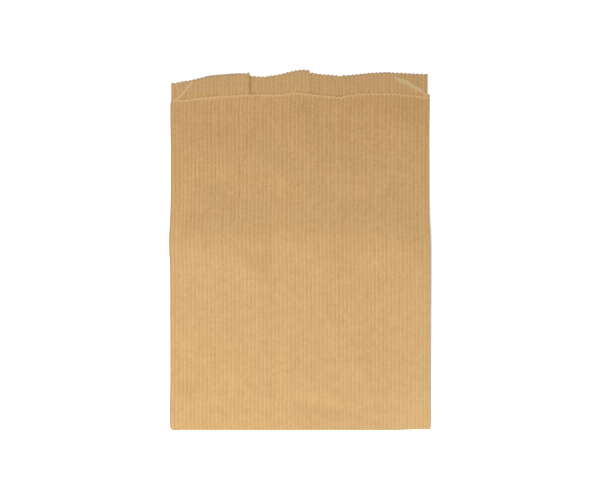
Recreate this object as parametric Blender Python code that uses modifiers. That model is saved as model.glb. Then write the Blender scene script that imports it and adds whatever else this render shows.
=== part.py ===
"""Flat paper bag: one folded and glued sheet.

The bag lies on its back with the front panel up (+Z) and the mouth towards +Y. The sheet is drawn
as the blank it is cut from: columns run round the tube, rows run from the folded base to the mouth.
Every column has a place in the tube's flattened section, and every row a place on the path that the
section follows round the base fold. Solidify then gives the sheet its thickness, and two thin glue
lines close the back seam and the base.
"""
import math

import bpy

MM = 0.001

# The paper
paper_thickness = 0.10 * MM
tooth_pitch = 2.95 * MM
tooth_depth = 1.0 * MM
teeth_per_column = 4

# The flattened tube
bag_width = 190.0 * MM
back_height = 259.7 * MM
mouth_step = 15.5 * MM
gusset_left = 57.3 * MM
gusset_right = 64.3 * MM
back_inset = 0.6 * MM
narrowing_low = 0.38 * MM
narrowing_left = 0.4 * MM
narrowing_right = 0.95 * MM
crest_swell = 0.85 * MM
lip_corner_pull = 1.0 * MM
mouth_draw = 0.85 * MM

# The glued lap down the back
lap_centre = -0.2 * MM
lap_width = 14.6 * MM
lap_pitch = 0.15 * MM
lap_ramp = 3.0 * MM
lap_clearance = 0.5 * MM
seam_glue_width = 9.0 * MM
seam_glue_margin = 12.0 * MM
glue_bite = 0.02 * MM

# The base, folded to the back
front_flap = 24.0 * MM
fold_radius = 0.20 * MM
base_corner_left = 2.0 * MM
base_corner_right = 0.3 * MM
base_corner_height = 4.7 * MM
base_kink = 0.73 * MM
base_kink_reach = 14.0 * MM
base_glue_inset = 6.0 * MM
base_glue_margin = 1.5 * MM
ramp_clearance = 0.8 * MM
ramp_length = 4.5 * MM
settle_length = 4.0 * MM

# The distance from one ply to the next, from the pressed base to the mouth
pitch_base = 0.20 * MM
pitch_low = 0.45 * MM
pitch_crest = 0.88 * MM
pitch_high = 0.42 * MM
pitch_mouth = 0.20 * MM

# The soft bend across the front panel and the lift of its middle
crest_height = 140.0 * MM
crest_lift = 1.15 * MM
crest_slant = 2.0 * MM
crest_round_left = 2.5 * MM
crest_round_right = 9.0 * MM
crest_fall_up = 56.0 * MM
crest_fall_down = 105.0 * MM
panel_lift = 0.4 * MM
mouth_wave = 0.15 * MM

fold_steps = 4
base_steps = 6

half_width = bag_width / 2
lip_height = back_height - mouth_step
inner_flap = front_flap - mouth_step
base_reach = fold_radius + 3 * pitch_base + paper_thickness / 2
glued_rise = 1.5 * paper_thickness + (lap_pitch - paper_thickness)
fold_rise = base_reach + fold_radius
row_scale = back_height / (259.7 * MM)
side_scale = half_width / (95.0 * MM)

# Height of the cut edges: place across the bag and height, both in mm at the nominal size.
# Heights are counted from back_height, and for the front lip from lip_height.
LIP_CUT = [
    (-95.0, -3.5),
    (-82.0, -2.9),
    (-73.0, -1.6),
    (-64.0, -0.9),
    (-57.0, -0.3),
    (-45.0, 0.4),
    (-32.0, 1.0),
    (-20.0, 0.6),
    (-12.0, 1.1),
    (-4.6, 2.5),
    (1.2, 1.8),
    (13.0, 0.5),
    (29.0, -1.0),
    (36.0, 0.4),
    (41.0, 1.1),
    (50.0, 1.7),
    (67.0, 1.7),
    (74.0, 1.0),
    (81.0, 0.4),
    (95.0, -1.4),
]
LEFT_LEAF_CUT = [
    (-95.0, -8.0),
    (-92.6, -6.8),
    (-85.4, -5.3),
    (-78.8, -4.3),
    (-72.3, -2.9),
    (-65.7, -1.3),
    (-59.2, -0.8),
    (-50.4, 0.0),
    (-43.9, 0.4),
    (-37.7, 0.3),
]
LEFT_FRONT_LEAF_CUT = [
    (-95.0, -19.2),
    (-92.0, -17.9),
    (-88.2, -14.5),
    (-85.9, -12.3),
    (-81.3, -6.6),
    (-79.6, -4.6),
    (-72.3, -2.9),
    (-65.7, -1.3),
    (-59.2, -0.8),
    (-50.4, 0.0),
    (-43.9, 0.4),
    (-37.7, 0.3),
]
LEFT_BACK_CUT = [
    (-95.0, -8.4),
    (-92.6, -7.3),
    (-80.0, -5.8),
    (-65.0, -2.8),
    (-50.0, -1.7),
    (-37.3, -1.2),
    (-30.8, -1.6),
    (-26.4, -1.9),
    (-15.5, -0.2),
    (-6.8, 1.8),
    (-2.4, 2.7),
    (2.0, 3.2),
    (8.0, 2.6),
]
RIGHT_BACK_CUT = [
    (-8.0, 0.2),
    (8.5, 1.0),
    (15.1, -0.1),
    (26.0, -0.9),
    (30.4, -1.7),
    (50.0, -0.8),
    (70.0, -0.3),
    (95.0, -0.3),
]
RIGHT_LEAF_CUT = [
    (30.7, -1.4),
    (39.1, -0.6),
    (45.6, 0.1),
    (52.2, 0.7),
    (58.7, 1.0),
    (65.3, 1.1),
    (74.0, 0.8),
    (80.6, 0.3),
    (95.0, -0.3),
]
RIGHT_FRONT_LEAF_CUT = [
    (30.7, -1.4),
    (39.1, -0.6),
    (45.6, 0.1),
    (52.2, 0.7),
    (58.7, 1.0),
    (66.5, 1.1),
    (69.0, -1.2),
    (71.8, -2.9),
    (77.8, -3.9),
    (83.2, -7.9),
    (88.4, -10.4),
    (91.5, -13.6),
    (95.0, -16.2),
]


def clear_scene():
    """Remove every object of the opening scene."""
    for item in list(bpy.data.objects):
        bpy.data.objects.remove(item, do_unlink=True)


def ease(value, low, high):
    """Go smoothly from 0 at low to 1 at high."""
    t = min(max((value - low) / (high - low), 0.0), 1.0)
    return t * t * (3 - 2 * t)


def table(points, x):
    """Read a cut-edge table at x, in metres."""
    place = x / side_scale / MM
    if place <= points[0][0]:
        return points[0][1] * MM
    for (x0, y0), (x1, y1) in zip(points, points[1:]):
        if place <= x1:
            share = (place - x0) / (x1 - x0)
            return (y0 + (y1 - y0) * share) * MM
    return points[-1][1] * MM


def steps_between(values, v):
    """Read a list of (place, value) with eased steps between the places."""
    if v <= values[0][0]:
        return values[0][1]
    for (v0, a), (v1, b) in zip(values, values[1:]):
        if v <= v1:
            return a + (b - a) * ease(v, v0, v1)
    return values[-1][1]


flap_tip = inner_flap + tooth_depth
ramp_start = flap_tip + ramp_clearance
ramp_end = ramp_start + ramp_length
settle_start = front_flap + tooth_depth + ramp_clearance
settle_end = settle_start + settle_length
crest_v = crest_height - base_reach
top_row = min(234.0 * MM * row_scale, lip_height - base_reach - 6.0 * MM)

PITCH = [
    (ramp_start, pitch_base),
    (ramp_end, pitch_low),
    (crest_v, pitch_crest),
    (crest_v + 0.45 * (top_row - crest_v), pitch_high),
    (top_row, pitch_mouth),
]


def ply_pitch(v):
    """Distance between neighbouring plies at distance v above the base fold."""
    if v <= ramp_end:
        return steps_between(PITCH[:2], v)
    return steps_between(PITCH[1:], v)


def rise(v):
    """Height of the back panel over the floor along the bag."""
    if v <= ramp_end:
        return fold_rise + (glued_rise - fold_rise) * ease(v, ramp_start, ramp_end)
    drop = glued_rise - paper_thickness / 2
    return glued_rise - drop * ease(v, settle_start, settle_end)


def corner(v):
    """Share of a base corner's rounding at v, 1 at the bag's lowest line."""
    return max(0.0, 1.0 - (v + base_reach) / base_corner_height) ** 2.4


def left_edge(v):
    """Reach of the tube to the left at v: rounded at the base, swollen at the crest."""
    drawn = narrowing_low * ease(v, ramp_end, ramp_end + 20.0 * MM)
    upper = 1.0 - ease(v, top_row - 34.0 * MM, top_row - 8.0 * MM)
    drawn += narrowing_left * ease(v, crest_v, crest_v + 41.0 * MM) * upper
    swell = crest_swell * math.exp(-(((v - crest_v + 3.0 * MM) / (14.0 * MM)) ** 2))
    return half_width - drawn - base_corner_left * corner(v) + swell


def right_edge(v):
    """Reach of the tube to the right at v: drawn in above the crest."""
    drawn = narrowing_right * ease(v, crest_v - 10.0 * MM, crest_v + 19.0 * MM)
    drawn *= 1.0 - 0.2 * ease(v, top_row - 29.0 * MM, top_row + 6.0 * MM)
    return half_width - drawn - base_corner_right * corner(v)


def lip_pull(v):
    """How far the front panel's left corner is drawn in at the lip."""
    lip_corner = lip_height - base_reach - 3.5 * MM
    return lip_corner_pull * ease(v, lip_corner - 2.3 * MM, lip_corner + 0.3 * MM)


def draw(v):
    """How far the back panel's right side is drawn in at the mouth."""
    return mouth_draw * ease(v, top_row - 30.0 * MM, top_row)


def kink(x, v):
    """How far the base fold sits higher near its right end, fading over the base flap."""
    near = 1.0 - ease(v, 0.0, base_kink_reach)
    return base_kink * near * ease(x, 0.69 * half_width, 0.93 * half_width)


def crest(x, v):
    """Share of the crest's lift: a rounded ridge, sharper on the left and steeper above."""
    side = ease(x, -0.5 * half_width, 0.5 * half_width)
    rounding = crest_round_left + (crest_round_right - crest_round_left) * side
    away = v - crest_v - crest_slant * (1.0 - 2.0 * side)
    reach = crest_fall_up if away > 0 else crest_fall_down
    drop = (math.hypot(away, rounding) - rounding) / reach
    return max(0.0, 1.0 - drop) ** 1.6


def front_lift(x, v):
    """Extra height of the front panel over the pressed stack."""
    reach = left_edge(v) if x < 0 else right_edge(v)
    across = max(0.0, 1.0 - (x / reach) ** 2)
    side = min(1.0, across * 1.6)
    field = panel_lift * ease(v, settle_end, crest_v * 0.6)
    field *= 1.0 - 0.8 * ease(v, 0.75 * top_row, top_row)
    turns = math.sin(x / half_width * 7.4 + 0.9) + 0.5 * math.sin(x / half_width * 12.1)
    wave = mouth_wave * 0.6 * turns * ease(v, crest_v, top_row)
    return side * (crest_lift * crest(x, v) + field + wave)


class Segment:
    """A strip of the blank between two fold lines, or the bend of one fold."""

    def __init__(self, name, kind, ends, level, cut, flap):
        self.name = name
        self.kind = kind
        self.ends = ends
        self.level = level
        self.cut = cut
        self.flap = flap

    def x_ends(self, v):
        """Both ends of the strip across the bag at v."""
        return self.ends[0](v), self.ends[1](v)

    def section(self, f, v):
        """Place across the bag and height over the back panel at share f."""
        pitch = ply_pitch(v)
        start, end = self.x_ends(v)
        if self.kind == "fold":
            angle = math.pi * f
            radius = pitch / 2
            side = 1.0 if self.level[1] > 0 else -1.0
            x = start + side * radius * math.sin(angle)
            n = self.level[0] * pitch + self.level[2] * radius * (1 - math.cos(angle))
            return x, n
        x = start + (end - start) * f
        n = self.level * pitch
        if self.kind == "lap":
            n = lap_pitch
        if self.kind == "ramp":
            n = lap_pitch * (1.0 - f)
        if self.name == "front":
            n += front_lift(x, v)
        return x, n


def front_left(v):
    return lip_pull(v) - left_edge(v) + ply_pitch(v) / 2


def front_right(v):
    return right_edge(v) - ply_pitch(v) / 2


def back_left(v):
    return back_inset - left_edge(v) + ply_pitch(v) / 2


def back_right(v):
    return right_edge(v) - back_inset - draw(v) - ply_pitch(v) / 2


def inner_left(v):
    return -half_width + gusset_left - ply_pitch(v) / 2


def inner_right(v):
    return half_width - gusset_right + ply_pitch(v) / 2


def lap_end_left(v):
    return lap_centre + lap_width / 2


def lap_end_right(v):
    return lap_centre - lap_width / 2


def ramp_from(v):
    return lap_end_right(v) - lap_clearance


def ramp_to(v):
    return ramp_from(v) - lap_ramp


SEGMENTS = [
    Segment("lap", "lap", (lap_end_left, ramp_from), 0, LEFT_BACK_CUT, False),
    Segment("lap_ramp", "ramp", (ramp_from, ramp_to), 0, LEFT_BACK_CUT, False),
    Segment("back_left", "flat", (ramp_to, back_left), 0, LEFT_BACK_CUT, False),
    Segment("fold_a", "fold", (back_left, back_left), (0, -1, 1), None, False),
    Segment("leaf_a", "flat", (back_left, inner_left), 1, LEFT_LEAF_CUT, False),
    Segment("fold_b", "fold", (inner_left, inner_left), (1, 1, 1), None, False),
    Segment("leaf_b", "flat", (inner_left, front_left), 2, LEFT_FRONT_LEAF_CUT, False),
    Segment("fold_c", "fold", (front_left, front_left), (2, -1, 1), None, False),
    Segment("front", "flat", (front_left, front_right), 3, LIP_CUT, True),
    Segment("fold_d", "fold", (front_right, front_right), (3, 1, -1), None, False),
    Segment("leaf_c", "flat", (front_right, inner_right), 2, RIGHT_FRONT_LEAF_CUT, False),
    Segment("fold_e", "fold", (inner_right, inner_right), (2, -1, -1), None, False),
    Segment("leaf_d", "flat", (inner_right, back_right), 1, RIGHT_LEAF_CUT, False),
    Segment("fold_f", "fold", (back_right, back_right), (1, 1, -1), None, False),
    Segment("back_right", "flat", (back_right, lap_end_right), 0, RIGHT_BACK_CUT, False),
]


def cut_height(segment, x):
    """Height of the cut edge over the lowest line of the bag."""
    if segment.name == "front":
        return lip_height + table(segment.cut, x)
    return back_height + table(segment.cut, x)


def tooth_size(segment, x):
    """Depth of the serration, none on the slanting edges of the front leaves."""
    place = x / side_scale / MM
    if segment.name == "leaf_b" and place < -79.0:
        return 0.0
    if segment.name == "leaf_c" and place > 66.0:
        return 0.0
    return tooth_depth


def put(x, n, kind, value):
    """Place a point of the section on the path round the base fold."""
    if kind == "main":
        return (x, value + kink(x, value), rise(value) + n)
    reach = fold_radius + n
    if kind == "bend":
        return (x, kink(x, 0.0) - reach * math.sin(value), base_reach + reach * math.cos(value))
    return (x, value + kink(x, value), base_reach - reach)


def main_rows():
    """Distances above the base fold of the rows of the main panels."""
    low = [0.0, 1.2 * MM, 2.5 * MM, 4.0 * MM, ramp_start, ramp_end, settle_start, settle_end]
    field = top_row - settle_end
    shares = [0.10, 0.22, 0.35, 0.46]
    rows = low + [settle_end + field * s for s in shares if settle_end + field * s < crest_v - 14 * MM]
    rows += [crest_v - 12 * MM, crest_v - 4 * MM, crest_v + 4 * MM, crest_v + 12 * MM]
    rest = top_row - (crest_v + 12 * MM)
    rows += [crest_v + 12 * MM + rest * s for s in (0.14, 0.3, 0.48, 0.74, 1.0)]
    return rows


def make_mesh():
    """Build the folded sheet as an open surface."""
    rows = [("flap", inner_flap), ("flap", 0.0)]
    for k in range(base_steps - 1, 0, -1):
        rows.append(("bend", math.pi * k / base_steps))
    rows += [("main", v) for v in main_rows()]
    last = len(rows) - 1
    verts = []
    faces = []

    def add(point):
        verts.append(point)
        return len(verts) - 1

    def row_v(row):
        if row[0] == "bend":
            return -base_reach * math.sin(row[1])
        return row[1] if row[0] == "main" else 0.0

    def surface(segment, f, row):
        x, n = segment.section(f, row_v(row))
        return add(put(x, n, row[0], row[1]))

    def top_point(segment, f, extra):
        v_low = top_row
        x, n = segment.section(f, v_low)
        height = cut_height(segment, x) + extra * tooth_size(segment, x)
        v = height - base_reach
        x, n = segment.section(f, v)
        return add(put(x, n, "main", v))

    def low_point(segment, f, extra, reach):
        x, n = segment.section(f, 0.0)
        return add(put(x, n, "flap", reach + extra))

    previous = None
    for segment in SEGMENTS:
        if segment.kind == "fold":
            spots = [k / fold_steps for k in range(fold_steps + 1)]
            teeth = None
        else:
            x0, x1 = segment.x_ends(top_row)
            count = max(1, round(abs(x1 - x0) / tooth_pitch))
            columns = max(1, math.ceil(count / teeth_per_column))
            marks = [round(count * k / columns) for k in range(columns + 1)]
            spots = [m / count for m in marks]
            teeth = (count, marks)
        for k, f in enumerate(spots):
            if k == 0 and previous is not None:
                column, top, low = previous
                if segment.flap:
                    low = low_point(segment, 0.0, 0.0, front_flap)
            else:
                column = [surface(segment, f, row) for row in rows]
                if segment.kind == "fold":
                    top = None
                else:
                    top = top_point(segment, f, -0.5)
                low = None
                if segment.flap:
                    low = low_point(segment, f, 0.0, front_flap)
                if segment.kind == "fold":
                    top = fold_top(segment, f, add)
            if k > 0:
                old_column, old_top, old_low = before
                for r in range(last):
                    quad = (old_column[r], old_column[r + 1], column[r + 1], column[r])
                    if r == 0 and not segment.flap and teeth is not None:
                        rim = low_rim(segment, teeth, k, inner_flap, low_point)
                        faces.append(quad[:3] + (quad[3],) + tuple(reversed(rim)))
                    else:
                        faces.append(quad)
                head = [old_column[last]]
                head.append(old_top)
                if teeth is not None:
                    head += top_rim(segment, teeth, k, top_point)
                head += [top, column[last]]
                faces.append(tuple(head))
                if segment.flap:
                    rim = low_rim(segment, teeth, k, front_flap, low_point)
                    foot = [old_column[0], column[0], low] + list(reversed(rim)) + [old_low]
                    faces.append(tuple(foot))
            before = (column, top, low)
        previous = (column, top, None)
    return verts, faces


def fold_top(segment, f, add):
    """End of a fold at the mouth, between the cuts of the plies it joins."""
    place = SEGMENTS.index(segment)
    before = SEGMENTS[place - 1]
    after = SEGMENTS[place + 1]
    x, n = segment.section(f, top_row)
    low = cut_height(before, x) - 0.5 * tooth_size(before, x)
    high = cut_height(after, x) - 0.5 * tooth_size(after, x)
    v = low + (high - low) * f - base_reach
    x, n = segment.section(f, v)
    return add(put(x, n, "main", v))


def top_rim(segment, teeth, k, point):
    """Points of the serrated edge inside one column at the mouth."""
    count, marks = teeth
    rim = []
    for m in range(2 * marks[k - 1] + 1, 2 * marks[k]):
        extra = 0.5 if m % 2 else -0.5
        rim.append(point(segment, m / (2 * count), extra))
    return rim


def low_rim(segment, teeth, k, reach, point):
    """Points of the serrated edge inside one column at the end of the base flap."""
    count, marks = teeth
    rim = []
    for m in range(2 * marks[k - 1] + 1, 2 * marks[k]):
        extra = tooth_depth if m % 2 else 0.0
        rim.append(point(segment, m / (2 * count), extra, reach))
    return rim


def collection(name):
    """Make a collection in the scene."""
    made = bpy.data.collections.new(name)
    bpy.context.scene.collection.children.link(made)
    return made


def mesh_object(name, verts, faces, home):
    """Make a mesh object in a collection."""
    mesh = bpy.data.meshes.new(name)
    mesh.from_pydata(verts, [], faces)
    mesh.validate()
    made = bpy.data.objects.new(name, mesh)
    home.objects.link(made)
    return made


def glue_block(name, x_range, v_rows, heights, shift, home):
    """A thin glue line, swept along the rows between two heights over the back panel's middle."""
    low, high = heights
    verts = []
    for v in v_rows:
        for x, z in ((x_range[0], low), (x_range[1], low), (x_range[1], high), (x_range[0], high)):
            verts.append((x + shift[0], v + shift[1], rise(v) + z))
    faces = [(0, 1, 2, 3)]
    for k in range(len(v_rows) - 1):
        a = 4 * k
        for c in range(4):
            d = (c + 1) % 4
            faces.append((a + c, a + 4 + c, a + 4 + d, a + d))
    end = 4 * (len(v_rows) - 1)
    faces.append((end + 3, end + 2, end + 1, end))
    made = mesh_object(name, verts, faces, home)
    made.hide_render = True
    made.display_type = "WIRE"
    return made


def paper():
    """The brown kraft paper's own material."""
    made = bpy.data.materials.new("paper")
    made.use_nodes = True
    shader = made.node_tree.nodes["Principled BSDF"]
    shader.inputs["Base Color"].default_value = (0.631, 0.387, 0.159, 1.0)
    shader.inputs["Roughness"].default_value = 0.85
    return made


def build():
    """Build the bag."""
    clear_scene()
    parts = collection("paper_bag_part")
    tools = collection("glue_lines")
    verts, faces = make_mesh()
    across = [p[0] for p in verts]
    tallest = max(p[1] for p in verts)
    shift = (-(max(across) + min(across)) / 2, -(tallest - base_reach) / 2)
    placed = [(x + shift[0], y + shift[1], z) for x, y, z in verts]
    bag = mesh_object("paper_bag", placed, faces, parts)
    bag.data.materials.append(paper())
    solid = bag.modifiers.new("thickness", "SOLIDIFY")
    solid.thickness = paper_thickness
    solid.offset = 0.0
    solid.use_even_offset = True
    solid.use_quality_normals = True

    seam_rows = [v for v in main_rows() if v > settle_end] + [back_height - base_reach - seam_glue_margin]
    seam_half = seam_glue_width / 2
    seam = glue_block(
        "seam_glue",
        (lap_centre - seam_half, lap_centre + seam_half),
        [settle_end + 1.0 * MM] + seam_rows,
        (paper_thickness / 2 - glue_bite, lap_pitch - paper_thickness / 2 + glue_bite),
        shift,
        tools,
    )
    reach = half_width - base_glue_inset
    base = glue_block(
        "base_glue",
        (-reach, reach),
        [ramp_end + base_glue_margin, front_flap - base_glue_margin],
        (paper_thickness / 2 - lap_pitch - glue_bite, glue_bite - paper_thickness / 2),
        shift,
        tools,
    )
    for line in (seam, base):
        join = bag.modifiers.new(line.name, "BOOLEAN")
        join.operation = "UNION"
        join.solver = "EXACT"
        join.object = line


build()
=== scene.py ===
"""A flat paper bag: the folded sheet, its ribbed kraft finish, the floor, lamps and camera."""

import logging
import math
from dataclasses import dataclass, field
from enum import Enum, auto
from typing import Any, Callable, Sequence

import bpy
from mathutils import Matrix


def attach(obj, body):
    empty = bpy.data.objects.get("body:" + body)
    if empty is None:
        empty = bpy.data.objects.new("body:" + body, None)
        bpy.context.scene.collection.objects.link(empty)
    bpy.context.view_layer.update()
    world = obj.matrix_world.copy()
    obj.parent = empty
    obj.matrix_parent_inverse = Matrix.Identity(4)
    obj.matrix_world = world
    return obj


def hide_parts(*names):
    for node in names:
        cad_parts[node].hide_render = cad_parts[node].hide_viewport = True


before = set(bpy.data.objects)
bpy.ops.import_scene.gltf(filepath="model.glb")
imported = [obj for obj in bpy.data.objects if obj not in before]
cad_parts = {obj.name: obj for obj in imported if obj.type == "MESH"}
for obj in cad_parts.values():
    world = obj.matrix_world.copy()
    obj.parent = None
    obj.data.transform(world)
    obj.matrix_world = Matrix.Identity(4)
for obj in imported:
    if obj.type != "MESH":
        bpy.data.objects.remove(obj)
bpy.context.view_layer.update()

MM = 0.001
LOG = logging.getLogger("paper_bag")

Point = tuple[float, float, float]
Colour = tuple[float, float, float]
Span = tuple[float, float]
Edge = Callable[[float], float]

# The blank's own coordinates count in units of this many millimetres
BLANK_UNIT = 100.0
# What a pixel of the view covers on the floor, and how many pixels it is wide
PIXEL = 0.728 * MM
VIEW_PIXELS = 600


def ease(value: float, low: float, high: float) -> float:
    """Go smoothly from 0 at low to 1 at high.

    Args:
        value: Where to read the step.
        low: Where the step starts.
        high: Where the step ends.

    Returns:
        A share from 0 to 1.
    """
    t = min(max((value - low) / (high - low), 0.0), 1.0)
    return t * t * (3 - 2 * t)


def bell(value: float, middle: float, reach: float) -> float:
    """Read a bell curve of height 1.

    Args:
        value: Where to read the curve.
        middle: Where the curve is highest.
        reach: Distance at which it has fallen to about a third.

    Returns:
        A share from 0 to 1.
    """
    return math.exp(-(((value - middle) / reach) ** 2))


def soft_floor(value: float, lowest: float, rounding: float) -> float:
    """Keep a value above a lowest one, with a rounded knee between them.

    Args:
        value: The value.
        lowest: The lowest value it may take.
        rounding: Size of the knee.

    Returns:
        The value, or a little above the lowest one.
    """
    over = (value - lowest) / rounding
    if over > 30.0:
        return value
    return lowest + rounding * math.log1p(math.exp(over))


class Strip(Enum):
    """The strips of the blank, in their order round the tube."""

    LAP = auto()
    LAP_RAMP = auto()
    BACK_LEFT = auto()
    FOLD_A = auto()
    LEAF_A = auto()
    FOLD_B = auto()
    LEAF_B = auto()
    FOLD_C = auto()
    FRONT = auto()
    FOLD_D = auto()
    LEAF_C = auto()
    FOLD_E = auto()
    LEAF_D = auto()
    FOLD_F = auto()
    BACK_RIGHT = auto()


class Course(Enum):
    """The stretches of a row's path, from the base flap round the base fold to the mouth."""

    FLAP = auto()
    BEND = auto()
    MAIN = auto()
    HEAD = auto()


@dataclass(frozen=True)
class Spot:
    """A soft spot of the front panel, in millimetres.

    Attributes:
        x: Place across the panel.
        v: Place above the base fold.
        reach_x: Half width.
        reach_v: Half height.
        peak: What it adds in its middle.
    """

    x: float
    v: float
    reach_x: float
    reach_v: float
    peak: float


@dataclass(frozen=True)
class SoftDent(Spot):
    """A shallow buckle, sunk where its peak is negative.

    Attributes:
        turn: Angle of its long axis from the bag's length, in degrees.
    """

    turn: float = 0.0

    def height(self, x: float, v: float) -> float:
        """Read the buckle's height.

        Args:
            x: Place across the bag, in metres.
            v: Place above the base fold, in metres.

        Returns:
            The height in metres.
        """
        dx = x / MM - self.x
        dv = v / MM - self.v
        angle = math.radians(self.turn)
        along = dx * math.sin(angle) + dv * math.cos(angle)
        across = dx * math.cos(angle) - dv * math.sin(angle)
        return self.peak * MM * bell(across, 0.0, self.reach_x) * bell(along, 0.0, self.reach_v)


@dataclass(frozen=True)
class CutLine:
    """A cut edge at the mouth: places across the bag and heights, both in millimetres.

    Attributes:
        base: The height that the offsets are counted from.
        points: Pairs of a place and an offset.
    """

    base: float
    points: Sequence[Span]

    def height(self, x: float) -> float:
        """Read the cut's height over the bag's lowest line.

        Args:
            x: Place across the bag, in metres.

        Returns:
            The height in metres.
        """
        place = x / MM
        offset = self.points[-1][1]
        if place <= self.points[0][0]:
            offset = self.points[0][1]
        else:
            for (x0, y0), (x1, y1) in zip(self.points, self.points[1:]):
                if place <= x1:
                    offset = y0 + (y1 - y0) * (place - x0) / (x1 - x0)
                    break
        return (self.base + offset) * MM


BACK_HEIGHT = 259.7
LIP_HEIGHT = 244.2
LEFT_TOP = [(-72.3, -2.9), (-65.7, -1.3), (-59.2, -0.8), (-50.4, 0.0), (-43.9, 0.4), (-37.7, 0.3)]
RIGHT_TOP = [(30.7, -1.4), (39.1, -0.6), (45.6, 0.1), (52.2, 0.7), (58.7, 1.0)]
LIP_CUT = CutLine(
    LIP_HEIGHT,
    [(-95.0, -3.5), (-82.0, -2.9), (-73.0, -1.6), (-64.0, -0.9), (-57.0, -0.3), (-45.0, 0.4)]
    + [(-32.0, 1.0), (-20.0, 0.6), (-12.0, 1.1), (-4.6, 2.5), (1.2, 1.8), (13.0, 0.5)]
    + [(29.0, -1.0), (36.0, 0.4), (41.0, 1.1), (50.0, 1.7), (67.0, 1.7), (74.0, 1.0)]
    + [(81.0, 0.4), (95.0, -1.4)],
)
LEFT_LEAF_CUT = CutLine(
    BACK_HEIGHT, [(-95.0, -8.0), (-92.6, -6.8), (-85.4, -5.3), (-78.8, -4.3)] + LEFT_TOP
)
LEFT_FRONT_LEAF_CUT = CutLine(
    BACK_HEIGHT,
    [(-95.0, -19.2), (-92.0, -17.9), (-88.2, -14.5), (-85.9, -12.3), (-81.3, -6.6), (-79.6, -4.6)]
    + LEFT_TOP,
)
LEFT_BACK_CUT = CutLine(
    BACK_HEIGHT,
    [(-95.0, -8.4), (-92.6, -7.3), (-80.0, -5.8), (-65.0, -2.8), (-50.0, -1.7), (-37.3, -1.2)]
    + [(-30.8, -1.6), (-26.4, -1.9), (-15.5, -0.2), (-6.8, 1.8), (-2.4, 2.7), (2.0, 3.2)]
    + [(8.0, 2.6)],
)
RIGHT_BACK_CUT = CutLine(
    BACK_HEIGHT,
    [(-8.0, 0.2), (8.5, 1.0), (15.1, -0.1), (26.0, -0.9), (30.4, -1.7), (50.0, -0.8)]
    + [(70.0, -0.3), (95.0, -0.3)],
)
RIGHT_LEAF_CUT = CutLine(
    BACK_HEIGHT, RIGHT_TOP + [(65.3, 1.1), (74.0, 0.8), (80.6, 0.3), (95.0, -0.3)]
)
RIGHT_FRONT_LEAF_CUT = CutLine(
    BACK_HEIGHT,
    RIGHT_TOP
    + [(66.5, 1.1), (69.0, -1.2), (71.8, -2.9), (77.8, -3.9), (83.2, -7.9), (88.4, -10.4)]
    + [(91.5, -13.6), (95.0, -16.2)],
)


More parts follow.
